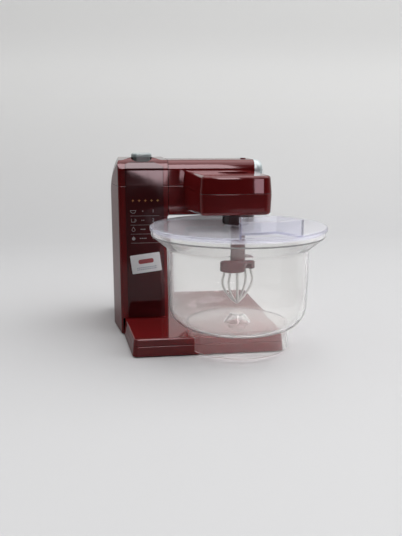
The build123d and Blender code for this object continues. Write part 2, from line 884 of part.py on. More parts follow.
def mixing_bowl():
    bowl = revolve(upright(bowl_wall_face()), Axis.Z)
    floor_top = bowl_floor_height + bowl_wall
    bump = loft([Pos(0, 0, floor_top - bowl_wall / 2) * Circle(bump_base_radius),
                 Pos(0, 0, floor_top + bump_height) * Circle(bump_top_radius)])
    hollow = loft([Pos(0, 0, bowl_floor_height) * Circle(bump_base_radius - bowl_wall),
                   Pos(0, 0, floor_top + bump_height - bowl_wall) * Circle(bump_top_radius - bowl_wall)])
    bowl = bowl + bump - hollow
    skirt = post(0, 0, skirt_bottom, bowl_floor_height + bowl_wall / 2, skirt_radius)
    skirt -= post(0, 0, skirt_bottom - overrun, bowl_floor_height + overrun, skirt_radius - skirt_wall)
    skirt = Pos(bowl_axis_x, bowl_axis_y, 0) * skirt
    gap = base_draft + skirt_notch_gap
    notch = block(-base_left_flare, base_length + gap, -gap, base_depth, -overrun, base_height)
    upright_edges = notch.edges().filter_by(Axis.Z).sort_by(Axis.X)[-2:]
    notch = fillet(upright_edges, skirt_notch_corner)
    return Pos(bowl_axis_x, bowl_axis_y, 0) * bowl + (skirt - notch)


def sector_face(inner, outer, start, end):
    sweep_angle = end - start
    outer_arc = CenterArc((0, 0), outer, start, sweep_angle)
    inner_arc = CenterArc((0, 0), inner, start, sweep_angle)
    sides = Curve() + Line(inner_arc @ 0, outer_arc @ 0) + Line(inner_arc @ 1, outer_arc @ 1)
    return make_face(sides + outer_arc + inner_arc)


def ring(outer, inner, z_low, z_high):
    return post(0, 0, z_low, z_high, outer) - post(0, 0, z_low - overrun, z_high + overrun, inner)


def bowl_lid():
    hole = stem_radius + lid_hole_gap
    plate_low = lid_top - lid_plate
    lid = post(0, 0, lid_band_bottom, lid_top, lid_radius)
    lid = fillet(lid.faces().sort_by(Axis.Z)[-1].edges(), lid_edge_radius)
    lid -= post(0, 0, lid_band_bottom - overrun, plate_low, lid_radius - lid_band_width)
    lid -= post(0, 0, lid_band_bottom, lid_top + overrun, hole)
    lid += ring(lid_lip_radius, lid_lip_radius - lid_lip_wall, lid_band_bottom - lid_lip_depth, lid_top)
    lid += ring(hole + lid_collar_width, hole, plate_low, lid_top + lid_collar_height)
    sector = sector_face(chute_inner_radius, lid_radius, chute_start, chute_end)
    lid += extrude(Pos(0, 0, plate_low) * sector, chute_top - plate_low)
    passage = offset(sector_face(chute_inner_radius, lid_lip_radius, chute_start, chute_end), -chute_wall)
    lid -= extrude(Pos(0, 0, plate_low - overrun) * passage, chute_top + 2 * overrun - plate_low)
    upper = offset(sector, -chute_wall)
    lid -= extrude(Pos(0, 0, lid_top) * upper, chute_top + overrun - lid_top)
    lid = fillet(lid.faces().sort_by(Axis.Z)[-1].edges(), chute_edge_radius)
    return Pos(bowl_axis_x, bowl_axis_y, 0) * lid


# Whisk and its drive
def drive_socket():
    body = post(0, 0, socket_bottom, socket_top, socket_radius)
    body = fillet(body.edges().group_by(Axis.Z)[0], socket_edge_radius)
    body += post(0, 0, socket_top, output_gear_bottom + gear_thickness, shaft_radius)
    tang_top = socket_bottom + tang_length
    body -= post(0, 0, socket_bottom - overrun, tang_top + fit_gap, tang_radius + fit_gap)
    return Pos(bowl_axis_x, bowl_axis_y, 0) * body


def whisk_holder():
    outline = Pos(0, 0, holder_bottom) * SlotOverall(holder_length, holder_width)
    bar = extrude(outline, holder_top - holder_bottom)
    bar = fillet(bar.faces().sort_by(Axis.Z)[-1].edges(), holder_edge_radius)
    arch = Pos(0, 0, holder_bottom) * Rot(90, 0, 0) * Cylinder(holder_arch_radius, holder_width + overrun)
    holder = bar - arch
    holder += post(0, 0, holder_top - holder_edge_radius, socket_bottom, stem_radius)
    holder += post(0, 0, socket_bottom, socket_bottom + tang_length, tang_radius)
    return Pos(bowl_axis_x, bowl_axis_y, 0) * Rot(0, 0, holder_angle) * holder


def whisk_loop():
    start = holder_bottom - wire_straight
    path = FilletPolyline(
        (wire_circle, 0, holder_bottom), (wire_circle, 0, start), (wire_bulge, 0, wire_bulge_height),
        (0, 0, wire_tip_height),
        (-wire_bulge, 0, wire_bulge_height), (-wire_circle, 0, start), (-wire_circle, 0, holder_bottom),
        radius=[wire_straight, wire_bulge_bend, wire_tip_bend, wire_bulge_bend, wire_straight],
    )
    section = Pos(wire_circle, 0, holder_bottom) * Circle(wire_radius)
    return sweep(section, path)


def whisk_wires():
    loop = whisk_loop()
    cage = loop
    for turn in (wire_spread, -wire_spread):
        cage += Rot(0, 0, turn) * loop
    lowest = loop.bounding_box().min.Z
    cage += Pos(0, 0, lowest + wire_radius) * Sphere(wire_tip_radius)
    return Pos(bowl_axis_x, bowl_axis_y, 0) * Rot(0, 0, holder_angle) * cage


# Gear train
def involute_point(base_radius, radius, turn):
    """A point of an involute flank at a radius, turned about the gear's axis."""
    ratio = max(radius / base_radius, 1.0)
    roll = math.sqrt(ratio ** 2 - 1)
    angle = roll - math.atan(roll) + turn
    return (radius * math.cos(angle), radius * math.sin(angle))


def gear_face(teeth):
    """Tooth outline with involute flanks. A tooth is centred on the X axis."""
    pitch_radius = gear_module * teeth / 2
    base_radius = pitch_radius * math.cos(math.radians(gear_pressure_angle))
    tip_radius = pitch_radius + gear_module * gear_addendum_share
    root_radius = pitch_radius - gear_module * gear_dedendum_share
    flank_low = max(base_radius, root_radius)
    pressure = math.radians(gear_pressure_angle)
    thickness = math.pi * gear_module / 2 - gear_backlash
    half_at_base = thickness / (2 * pitch_radius) + math.tan(pressure) - pressure
    points = []
    for tooth in range(teeth):
        middle = 2 * math.pi * tooth / teeth
        right = []
        for step in range(flank_steps + 1):
            radius = flank_low + (tip_radius - flank_low) * step / flank_steps
            x, y = involute_point(base_radius, radius, -half_at_base)
            right.append((x, y))
        root_x = root_radius * math.cos(-half_at_base)
        root_y = root_radius * math.sin(-half_at_base)
        right.insert(0, (root_x, root_y))
        left = [(x, -y) for x, y in reversed(right)]
        for x, y in right + left:
            points.append((x * math.cos(middle) - y * math.sin(middle),
                           x * math.sin(middle) + y * math.cos(middle)))
    return make_face(Polyline(*points, close=True))


def gear(teeth, z_low, turn, bore):
    wheel = extrude(Pos(0, 0, z_low) * Rot(0, 0, turn) * gear_face(teeth), gear_thickness)
    return wheel - post(0, 0, z_low - overrun, z_low + gear_thickness + overrun, bore)


def output_gear():
    wheel = gear(output_teeth, output_gear_bottom, compound_direction, shaft_radius + fit_gap / 4)
    return Pos(bowl_axis_x, bowl_axis_y, 0) * wheel


def compound_gear():
    bore = gear_pin_radius + fit_gap
    meshed = compound_direction + 180 + 180 / small_teeth
    body = gear(small_teeth, output_gear_bottom, meshed, bore)
    body += gear(wheel_teeth, wheel_bottom, motor_direction, bore)
    body += ring(gear_pin_radius * 2, bore, output_gear_bottom, wheel_top)
    return Pos(compound_x, compound_y, 0) * body


def motor_pinion():
    meshed = motor_direction + 180 + 180 / pinion_teeth
    bore = motor_shaft_radius + fit_gap / 2
    return Pos(motor_x, motor_y, 0) * gear(pinion_teeth, wheel_bottom, meshed, bore)


def drive_motor():
    can = post(0, 0, motor_bottom, motor_top, motor_radius)
    flat = motor_flat_width / 2
    can &= block(-flat, flat, -motor_radius, motor_radius, motor_bottom, motor_top)
    shaft = post(0, 0, motor_top, wheel_top, motor_shaft_radius)
    return Pos(motor_x, motor_y, 0) * (can + shaft)


def gear_plate():
    outline = Pos(bowl_axis_x, bowl_axis_y) * Circle(gear_plate_margin)
    outline += Pos(compound_x, compound_y) * Circle(gear_plate_margin)
    outline += Pos(motor_x, motor_y) * Circle(motor_radius + shell_wall)
    face = make_hull(outline.edges())
    plate = extrude(Pos(0, 0, gear_plate_bottom) * face, gear_plate_thickness)
    bearing_top = output_gear_bottom - run_gap
    plate += post(bowl_axis_x, bowl_axis_y, gear_plate_top, bearing_top, shaft_radius + shell_wall)
    plate += post(compound_x, compound_y, gear_plate_top, bearing_top, gear_pin_radius * 2)
    plate -= post(bowl_axis_x, bowl_axis_y, 0, tower_top, shaft_radius + run_gap)
    plate -= post(compound_x, compound_y, 0, tower_top, gear_pin_radius)
    motor_hole = post(motor_x, motor_y, 0, tower_top, motor_radius + fit_gap)
    flat = motor_flat_width / 2 + fit_gap
    motor_hole &= block(motor_x - flat, motor_x + flat, motor_y - 2 * motor_radius,
                        motor_y + 2 * motor_radius, 0, tower_top)
    return plate - motor_hole


def gear_pin():
    head_low = wheel_top + run_gap
    pin = post(compound_x, compound_y, gear_plate_bottom, head_low, gear_pin_radius)
    head_high = head_low + gear_pin_head_height
    return pin + post(compound_x, compound_y, head_low, head_high, gear_pin_head_radius)


nodes = {
    "base_upper_shell": base_upper_shell,
    "base_lower_tray": base_lower_tray,
    "base_screws": base_screws,
    "rubber_feet": rubber_feet,
    "tower_lower_shell": tower_lower_shell,
    "tower_top_cover": tower_top_cover,
    "tower_front_panel": tower_front_panel,
    "power_button": power_button,
    "button_spring": button_spring,
    "switch_block": switch_block,
    "battery_holder": battery_holder,
    "battery_cells": battery_cells,
    "battery_contacts": battery_contacts,
    "battery_door": battery_door,
    "battery_door_screw": battery_door_screw,
    "supply_leads": supply_leads,
    "tilt_axle": tilt_axle,
    "arm_lower_shell": arm_lower_shell,
    "arm_upper_shell": arm_upper_shell,
    "arm_end_cap": arm_end_cap,
    "head_cap": head_cap,
    "drive_motor": drive_motor,
    "motor_leads": motor_leads,
    "motor_pinion": motor_pinion,
    "compound_gear": compound_gear,
    "gear_pin": gear_pin,
    "gear_plate": gear_plate,
    "output_gear": output_gear,
    "drive_socket": drive_socket,
    "whisk_holder": whisk_holder,
    "whisk_wires": whisk_wires,
    "mixing_bowl": mixing_bowl,
    "bowl_lid": bowl_lid,
}

os.makedirs("parts", exist_ok=True)
to_origin = Pos(-origin_x, -origin_y, 0)
for name, make in nodes.items():
    made = make()
    solids = made if isinstance(made, list) else [made]
    placed = [to_origin * solid for solid in solids]
    shape = placed[0] if len(placed) == 1 else Compound(children=placed)
    export_step(shape, f"parts/{name}.step")
    print(name, "written")
print("origin", origin_x, origin_y)
print("tilt axis", tilt_axis_y - origin_y, seam_height)
print("whisk axis", bowl_axis_x - origin_x, bowl_axis_y - origin_y)
print("compound axis", compound_x - origin_x, compound_y - origin_y)
print("motor axis", motor_x - origin_x, motor_y - origin_y)
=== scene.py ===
import json
import math

import bmesh
import bpy
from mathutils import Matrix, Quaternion, Vector


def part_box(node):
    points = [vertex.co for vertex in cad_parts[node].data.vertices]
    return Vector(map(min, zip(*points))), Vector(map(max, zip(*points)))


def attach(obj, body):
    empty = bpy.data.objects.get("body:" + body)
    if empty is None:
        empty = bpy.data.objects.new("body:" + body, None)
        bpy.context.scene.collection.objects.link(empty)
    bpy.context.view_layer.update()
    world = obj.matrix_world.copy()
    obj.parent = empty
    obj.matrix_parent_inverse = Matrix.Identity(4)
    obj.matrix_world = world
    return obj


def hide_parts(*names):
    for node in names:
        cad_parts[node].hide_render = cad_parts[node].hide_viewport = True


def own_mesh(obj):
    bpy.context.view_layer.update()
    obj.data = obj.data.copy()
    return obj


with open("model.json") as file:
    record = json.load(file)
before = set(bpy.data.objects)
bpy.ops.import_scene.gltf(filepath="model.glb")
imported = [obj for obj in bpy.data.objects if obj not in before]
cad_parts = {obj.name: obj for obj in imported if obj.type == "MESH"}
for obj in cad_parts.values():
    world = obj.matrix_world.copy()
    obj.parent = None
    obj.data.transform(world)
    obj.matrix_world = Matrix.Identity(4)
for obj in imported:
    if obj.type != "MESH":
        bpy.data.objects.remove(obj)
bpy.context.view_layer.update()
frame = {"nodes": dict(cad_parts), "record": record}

# %% [markdown]
# A toy food processor: a glossy burgundy stand with a tower, an arm that tilts up, a clear bowl
# with its lid, and a whisk. The moulded pieces arrive as finished shapes in metres, so this lesson
# is about finishes, print, light and camera. Each step says what the real thing is, how it could be
# made here, and why one way was chosen.

# %% Sizes that the later steps share
MM = 0.001
MICRON = 0.001 * MM

# %% [markdown]
# Every finish is a small shader tree. Writing each one by hand would repeat the same few lines, so
# a few helpers make a material, add a node with its settings, and lay a noise over the piece in
# object coordinates. Object coordinates are in metres here, so a speckle one millimetre wide needs a
# noise scale of about a thousand. Nearly all of a noise lies between 0.3 and 0.7, and the helpers
# stretch that span to a range of values or to two colours.


# %% Helpers for shader trees
NOISE_LOW, NOISE_HIGH = 0.3, 0.7


def new_finish(name):
    material = bpy.data.materials.new(name)
    material.use_nodes = True
    return material, material.node_tree, material.node_tree.nodes["Principled BSDF"]


def add_node(tree, kind, **settings):
    node = tree.nodes.new(kind)
    for key, value in settings.items():
        setattr(node, key, value)
    return node


def noise_over(tree, scale, detail=3.0, stretch=(1.0, 1.0, 1.0)):
    """A noise in object coordinates. A stretch below one draws it out along that axis."""
    place = add_node(tree, "ShaderNodeTexCoord")
    mapping = add_node(tree, "ShaderNodeMapping")
    mapping.inputs["Scale"].default_value = stretch
    noise = add_node(tree, "ShaderNodeTexNoise")
    noise.inputs["Scale"].default_value = scale
    noise.inputs["Detail"].default_value = detail
    tree.links.new(place.outputs["Object"], mapping.inputs["Vector"])
    tree.links.new(mapping.outputs["Vector"], noise.inputs["Vector"])
    return noise.outputs["Fac"]


def to_range(tree, source, low, high, from_low=NOISE_LOW, from_high=NOISE_HIGH):
    node = add_node(tree, "ShaderNodeMapRange")
    node.inputs["From Min"].default_value = from_low
    node.inputs["From Max"].default_value = from_high
    node.inputs["To Min"].default_value = low
    node.inputs["To Max"].default_value = high
    tree.links.new(source, node.inputs["Value"])
    return node.outputs["Result"]


def two_tone(tree, source, first, second):
    ramp = add_node(tree, "ShaderNodeValToRGB")
    for stop, position, colour in zip(ramp.color_ramp.elements, (NOISE_LOW, NOISE_HIGH), (first, second)):
        stop.position = position
        stop.color = (*colour, 1.0)
    tree.links.new(source, ramp.inputs["Fac"])
    return ramp.outputs["Color"]


def calculate(tree, operation, first, second):
    node = add_node(tree, "ShaderNodeMath", operation=operation)
    for socket, value in zip(node.inputs, (first, second)):
        if isinstance(value, (int, float)):
            socket.default_value = value
        else:
            tree.links.new(value, socket)
    return node.outputs["Value"]


def bump_from(tree, source, height):
    bump = add_node(tree, "ShaderNodeBump")
    bump.inputs["Distance"].default_value = height
    bump.inputs["Strength"].default_value = 1.0
    tree.links.new(source, bump.inputs["Height"])
    return bump.outputs["Normal"]


# %% [markdown]
# Moulded plastic is never quite even. The colour drifts a little where the melt flowed, fingers leave
# the gloss duller in patches, play leaves hairline scratches, and the skin has a very fine ripple that
# makes a reflection swim. One function holds those effects, and each plastic of the toy only sets its
# own amounts. Scratches are a noise drawn out along one direction, of which only the thin crests count.


# %% The moulded plastics
drift_scale, smudge_scale = 18.0, 42.0
scratches_along, scratches_up = (260.0, (0.06, 1.0, 1.4)), (230.0, (1.3, 1.0, 0.05))
crest_low, crest_high = 0.66, 0.74
moulded_ior = 1.5


def moulded_plastic(name, colour, deep_colour, roughness, ripple_scale, ripple_height=10 * MICRON,
                    scratch=0.0, metal_share=0.0, gloss_tint=(1.0, 1.0, 1.0)):
    material, tree, shader = new_finish(name)
    drift = noise_over(tree, drift_scale, detail=4.0)
    tree.links.new(two_tone(tree, drift, deep_colour, colour), shader.inputs["Base Color"])
    smudge = noise_over(tree, smudge_scale, detail=5.0)
    dull = to_range(tree, smudge, *roughness)
    if scratch:
        for scale, stretch in (scratches_along, scratches_up):
            hairlines = noise_over(tree, scale, detail=2.0, stretch=stretch)
            crests = to_range(tree, hairlines, 0.0, scratch, crest_low, crest_high)
            dull = calculate(tree, "ADD", dull, crests)
    tree.links.new(dull, shader.inputs["Roughness"])
    ripple = noise_over(tree, ripple_scale, detail=2.0)
    tree.links.new(bump_from(tree, ripple, ripple_height), shader.inputs["Normal"])
    shader.inputs["IOR"].default_value = moulded_ior
    shader.inputs["Metallic"].default_value = metal_share
    shader.inputs["Specular Tint"].default_value = (*gloss_tint, 1.0)
    return material


burgundy_gloss = moulded_plastic(
    "burgundy_gloss", (0.152, 0.0100, 0.0106), (0.132, 0.0086, 0.0092), roughness=(0.035, 0.085),
    ripple_scale=120.0, scratch=0.08, gloss_tint=(1.0, 0.80, 0.82))
wine_black_panel = moulded_plastic(
    "wine_black_panel", (0.056, 0.0062, 0.0074), (0.047, 0.0053, 0.0064), roughness=(0.035, 0.085),
    ripple_scale=120.0, scratch=0.08, gloss_tint=(1.0, 0.88, 0.90))
teal_grey_gloss = moulded_plastic(
    "teal_grey_gloss", (0.400, 0.465, 0.470), (0.365, 0.430, 0.436), roughness=(0.16, 0.26),
    ripple_scale=900.0, ripple_height=3 * MICRON, scratch=0.08)
silver_teal_gloss = moulded_plastic(
    "silver_teal_gloss", (0.600, 0.670, 0.685), (0.560, 0.630, 0.645), roughness=(0.24, 0.32),
    ripple_scale=900.0, ripple_height=2 * MICRON, metal_share=0.3)
black_moulding = moulded_plastic(
    "black_moulding", (0.020, 0.019, 0.019), (0.014, 0.014, 0.014), roughness=(0.42, 0.55),
    ripple_scale=1600.0, ripple_height=20 * MICRON)
white_nylon = moulded_plastic(
    "white_nylon", (0.78, 0.77, 0.72), (0.72, 0.71, 0.66), roughness=(0.38, 0.48), ripple_scale=1200.0)
silver_grey_satin = moulded_plastic(
    "silver_grey_satin", (0.50, 0.50, 0.485), (0.45, 0.45, 0.435), roughness=(0.25, 0.34),
    ripple_scale=1400.0)
dark_socket = moulded_plastic(
    "dark_socket", (0.040, 0.008, 0.009), (0.030, 0.006, 0.007), roughness=(0.22, 0.30), ripple_scale=900.0)
# The whisk holder's own dark wine, darkened further as painted shade: the head and the lid shade it, but
# lamps shine through the clear lid here.
holder_wine_and_painted_shade = moulded_plastic(
    "holder_wine_and_painted_shade", (0.090, 0.014, 0.018), (0.076, 0.011, 0.014), roughness=(0.12, 0.20), ripple_scale=600.0)
cell_film = moulded_plastic(
    "cell_film", (0.070, 0.085, 0.100), (0.055, 0.068, 0.082), roughness=(0.20, 0.28), ripple_scale=700.0)
lead_jacket = moulded_plastic(
    "lead_jacket", (0.30, 0.020, 0.018), (0.25, 0.016, 0.015), roughness=(0.35, 0.45), ripple_scale=1500.0)
print("moulded plastics made, from", burgundy_gloss.name, "to", lead_jacket.name)

# %% [markdown]
# The bowl and the lid are clear polystyrene, thin enough that the bowl almost vanishes against the wall
# and shows itself by its rim, its skirt and the reflections on it. A glass shader gives that, with four
# helps. Lamps do not shine through a glass shader in a path tracer, so for shadow rays the piece is
# plainly transparent and what stands inside the bowl keeps its light. A small share of the plastic is
# milky instead of clear, because use dulls it. A soft sheen whitens a wall that is seen edge on. And
# light that runs a long way inside the lid comes out violet blue, which is absorption in its body.


# %% The clear plastics
clear_ior = 1.45
haze_scale, flow_scale, flow_height = 35.0, 60.0, 20 * MICRON
edge_sheen_roughness = 0.32


def clear_plastic(name, colour, clear_share, roughness, edge_colour, edge_density, edge_sheen):
    material, tree, shader = new_finish(name)
    shader.inputs["Base Color"].default_value = (*colour, 1.0)
    shader.inputs["Transmission Weight"].default_value = clear_share
    shader.inputs["IOR"].default_value = clear_ior
    shader.inputs["Sheen Weight"].default_value = edge_sheen
    shader.inputs["Sheen Roughness"].default_value = edge_sheen_roughness
    haze = noise_over(tree, haze_scale, detail=4.0)
    tree.links.new(to_range(tree, haze, *roughness), shader.inputs["Roughness"])
    flow = noise_over(tree, flow_scale, detail=1.0)
    tree.links.new(bump_from(tree, flow, flow_height), shader.inputs["Normal"])
    rays = add_node(tree, "ShaderNodeLightPath")
    open_way = add_node(tree, "ShaderNodeBsdfTransparent")
    either = add_node(tree, "ShaderNodeMixShader")
    output = tree.nodes["Material Output"]
    tree.links.new(rays.outputs["Is Shadow Ray"], either.inputs[0])
    tree.links.new(shader.outputs["BSDF"], either.inputs[1])
    tree.links.new(open_way.outputs["BSDF"], either.inputs[2])
    tree.links.new(either.outputs["Shader"], output.inputs["Surface"])
    body = add_node(tree, "ShaderNodeVolumeAbsorption")
    body.inputs["Color"].default_value = (*edge_colour, 1.0)
    body.inputs["Density"].default_value = edge_density
    tree.links.new(body.outputs["Volume"], output.inputs["Volume"])
    return material


bowl_clear = clear_plastic(
    "bowl_clear", (0.985, 0.985, 0.975), clear_share=0.95, roughness=(0.02, 0.05),
    edge_colour=(0.97, 0.96, 0.93), edge_density=2.0, edge_sheen=1.0)
violet_clear = clear_plastic(
    "violet_clear", (0.95, 0.955, 0.985), clear_share=0.87, roughness=(0.04, 0.10),
    edge_colour=(0.57, 0.57, 1.0), edge_density=16.0, edge_sheen=0.3)
print("clear plastics made:", bowl_clear.name, violet_clear.name)

# %% [markdown]
# Metal parts are small and mostly inside. Zinc plate is dull and a little blotchy, drawn wire has fine
# lines along its length, and the contacts are brass. Rubber is nearly black and quite rough.


# %% The metals and the rubber
blotch_scale = 260.0
grain_scale, grain_height = 2200.0, 40 * MICRON


def metal(name, bright_colour, dull_colour, roughness, stretch=(1.0, 1.0, 1.0)):
    """A metal that is smoother where it is brighter."""
    material, tree, shader = new_finish(name)
    blotch = noise_over(tree, blotch_scale, detail=4.0, stretch=stretch)
    tree.links.new(two_tone(tree, blotch, dull_colour, bright_colour), shader.inputs["Base Color"])
    smooth, rough = roughness
    tree.links.new(to_range(tree, blotch, rough, smooth), shader.inputs["Roughness"])
    shader.inputs["Metallic"].default_value = 1.0
    return material


def rubber(name, colour, pale_colour, roughness):
    material, tree, shader = new_finish(name)
    grain = noise_over(tree, grain_scale)
    tree.links.new(two_tone(tree, grain, colour, pale_colour), shader.inputs["Base Color"])
    tree.links.new(to_range(tree, grain, *roughness), shader.inputs["Roughness"])
    tree.links.new(bump_from(tree, grain, grain_height), shader.inputs["Normal"])
    return material


zinc_plate = metal("zinc_plate", (0.60, 0.60, 0.62), (0.45, 0.45, 0.47), roughness=(0.25, 0.42))
spring_wire = metal("spring_wire", (0.55, 0.55, 0.57), (0.40, 0.40, 0.42), roughness=(0.20, 0.35),
                    stretch=(1.0, 1.0, 0.2))
contact_brass = metal("contact_brass", (0.72, 0.55, 0.26), (0.58, 0.43, 0.20), roughness=(0.22, 0.36))
foot_rubber = rubber("foot_rubber", (0.022, 0.022, 0.023), (0.034, 0.034, 0.035), roughness=(0.65, 0.82))
print("metals made:", zinc_plate.name, spring_wire.name, contact_brass.name, "rubber:", foot_rubber.name)

# %% [markdown]
# Now each moulded piece gets its finish. A list of pieces under each finish reads like a maker's parts
# list.

# %% Finish of each moulded piece
finishes = {
    burgundy_gloss: ["base_upper_shell", "base_lower_tray", "tower_lower_shell", "tower_top_cover",
                     "battery_door", "arm_lower_shell", "arm_upper_shell"],
    wine_black_panel: ["tower_front_panel", "head_cap"],
    dark_socket: ["drive_socket"],
    holder_wine_and_painted_shade: ["whisk_holder"],
    teal_grey_gloss: ["power_button"],
    silver_teal_gloss: ["arm_end_cap"],
    black_moulding: ["switch_block", "battery_holder", "tilt_axle", "gear_plate"],
    white_nylon: ["compound_gear", "output_gear"],
    silver_grey_satin: ["whisk_wires"],
    cell_film: ["battery_cells"],
    lead_jacket: ["supply_leads", "motor_leads"],
    bowl_clear: ["mixing_bowl"],
    violet_clear: ["bowl_lid"],
    zinc_plate: ["base_screws", "battery_door_screw", "drive_motor", "gear_pin"],
    spring_wire: ["button_spring"],
    contact_brass: ["battery_contacts", "motor_pinion"],
    foot_rubber: ["rubber_feet"],
}
for material, names in finishes.items():
    for name in names:
        piece = frame["nodes"][name]
        piece.data.materials.clear()
        piece.data.materials.append(material)

# %% [markdown]
# What repeats, or follows a path, is left to node trees. Each tree starts with named inputs, which are set
# by their identifiers, and each ends by making its copies real and giving them a finish. Helpers hold what
# the trees share: the start, a round tube along a path, copies on points, and the end. The result is turned
# into a plain mesh, because an exported piece can't keep a live modifier.


# %% Helpers for geometry trees
def new_geometry_tree(name, inputs, takes=None):
    """A tree with named inputs, its two end nodes, and the identifier of each input."""
    tree = bpy.data.node_groups.new(name, "GeometryNodeTree")
    face = tree.interface
    if takes:
        face.new_socket(takes, in_out="INPUT", socket_type="NodeSocketGeometry")
    sockets = {}
    for label, kind in inputs.items():
        sockets[label] = face.new_socket(label, in_out="INPUT", socket_type="NodeSocket" + kind).identifier
    face.new_socket("Made", in_out="OUTPUT", socket_type="NodeSocketGeometry")
    print("node tree", name, "with inputs", ", ".join(sockets))
    return tree, add_node(tree, "NodeGroupInput"), add_node(tree, "NodeGroupOutput"), sockets


def wire_tube(tree, given, path):
    """A smooth tube along a path, with the tree's Wire Radius and Sides for its section."""
    section = add_node(tree, "GeometryNodeCurvePrimitiveCircle")
    tube = add_node(tree, "GeometryNodeCurveToMesh")
    smooth = add_node(tree, "GeometryNodeSetShadeSmooth")
    tube.inputs["Fill Caps"].default_value = True
    tree.links.new(given.outputs["Sides"], section.inputs["Resolution"])
    tree.links.new(given.outputs["Wire Radius"], section.inputs["Radius"])
    tree.links.new(path, tube.inputs["Curve"])
    tree.links.new(section.outputs["Curve"], tube.inputs["Profile Curve"])
    tree.links.new(tube.outputs["Mesh"], smooth.inputs["Geometry"])
    return smooth.outputs["Geometry"]


def copies_on_points(tree, count, position, shape):
    """The node that sets a copy of a shape on each of a number of points."""
    points = add_node(tree, "GeometryNodePoints")
    copies = add_node(tree, "GeometryNodeInstanceOnPoints")
    tree.links.new(count, points.inputs["Count"])
    tree.links.new(position, points.inputs["Position"])
    tree.links.new(points.outputs["Points"], copies.inputs["Points"])
    tree.links.new(shape, copies.inputs["Instance"])
    return copies


def end_tree(tree, given, result, made):
    """Makes copies real, gives them the tree's Finish and hands them out."""
    real = add_node(tree, "GeometryNodeRealizeInstances")
    coat = add_node(tree, "GeometryNodeSetMaterial")
    tree.links.new(made, real.inputs["Geometry"])
    tree.links.new(real.outputs["Geometry"], coat.inputs["Geometry"])
    tree.links.new(given.outputs["Finish"], coat.inputs["Material"])
    tree.links.new(coat.outputs["Geometry"], result.inputs["Made"])


# %% Helpers that turn a tree's result into a piece
def finished_mesh(name, data, tree, sockets, values):
    """What a node tree makes of some geometry, as a plain mesh with no modifier left."""
    holder = bpy.data.objects.new(name, data)
    bpy.context.scene.collection.objects.link(holder)
    modifier = holder.modifiers.new("nodes", "NODES")
    modifier.node_group = tree
    for label, value in values.items():
        modifier[sockets[label]] = value
    graph = bpy.context.evaluated_depsgraph_get()
    mesh = bpy.data.meshes.new_from_object(holder.evaluated_get(graph))
    holder.modifiers.remove(modifier)
    bpy.data.objects.remove(holder)
    mesh.name = name
    return mesh


def place_piece(name, mesh, finish, body):
    """A piece of its own, in one finish, that moves with a body."""
    piece = bpy.data.objects.new(name, mesh)
    bpy.context.scene.collection.objects.link(piece)
    mesh.materials.clear()
    mesh.materials.append(finish)
    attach(piece, body)
    return piece


# %% [markdown]
# The whisk is a cage of three wire loops that cross at the tip. Each loop starts at the holder's underside,
# swells a little and runs down to a point. Bending tubes by hand would repeat one shape three times, so the
# loop is drawn once as a smooth curve, and a node tree gives it a round section and sets the copies round
# the whisk's axis, with named inputs for their number, their turn and the wire's thickness.

# %% One loop of the whisk, drawn as a smooth curve
joints = {joint["name"]: joint for joint in frame["record"]["behaviour"]["joints"]}
whisk_axis = joints["whisk_spin"]["pos_m"]
cage_low, cage_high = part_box("whisk_wires")
wire_radius, wire_root = 1.2 * MM, 1.0 * MM
tip_height, wire_top = cage_low[2] + wire_radius, cage_high[2] + wire_root
# Half of the loop from the holder to the tip: millimetres from the axis, and share of the wire's height.
half_loop = [(15.5, 1.0), (16.2, 0.86), (18.1, 0.69), (17.2, 0.52), (11.2, 0.26), (4.6, 0.08), (0.0, 0.0)]


def whisk_curve():
    places = [(reach * MM, tip_height + share * (wire_top - tip_height)) for reach, share in half_loop]
    places += [(-reach, height) for reach, height in places[-2::-1]]
    curve = bpy.data.curves.new("whisk_loop", "CURVE")
    curve.dimensions, curve.resolution_u = "3D", 6
    spline = curve.splines.new("BEZIER")
    spline.bezier_points.add(len(places) - 1)
    for point, (reach, height) in zip(spline.bezier_points, places):
        point.co = (reach, 0.0, height)
        point.handle_left_type = point.handle_right_type = "AUTO"
    return curve


print("whisk axis at", [round(v, 4) for v in whisk_axis], "tip at height", round(tip_height, 4))


# %% The whisk's cage of wires
def cage_tree():
    inputs = {"Loops": "Int", "First Turn": "Float", "Turn Step": "Float", "Wire Radius": "Float",
              "Sides": "Int", "Axis": "Vector", "Finish": "Material"}
    tree, given, result, sockets = new_geometry_tree("wires_round_an_axis", inputs, takes="Loop")
    wire = wire_tube(tree, given, given.outputs["Loop"])
    copies = copies_on_points(tree, given.outputs["Loops"], given.outputs["Axis"], wire)
    index = add_node(tree, "GeometryNodeInputIndex")
    turn = add_node(tree, "ShaderNodeCombineXYZ")
    angle = calculate(tree, "MULTIPLY", index.outputs["Index"], given.outputs["Turn Step"])
    tree.links.new(calculate(tree, "ADD", angle, given.outputs["First Turn"]), turn.inputs["Z"])
    tree.links.new(turn.outputs["Vector"], copies.inputs["Rotation"])
    end_tree(tree, given, result, copies.outputs["Instances"])
    return tree, sockets


cage_values = {"Loops": 3, "First Turn": math.radians(20.0), "Turn Step": math.radians(30.0),
               "Wire Radius": wire_radius, "Sides": 12, "Axis": (whisk_axis[0], whisk_axis[1], 0.0),
               "Finish": silver_grey_satin}
cage_mesh = finished_mesh("whisk_cage", whisk_curve(), *cage_tree(), cage_values)
whisk_cage = place_piece("whisk_cage", cage_mesh, silver_grey_satin, "whisk")
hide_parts("whisk_wires")
print("whisk wires:", 2 * cage_values["Loops"], "faces", len(cage_mesh.polygons))
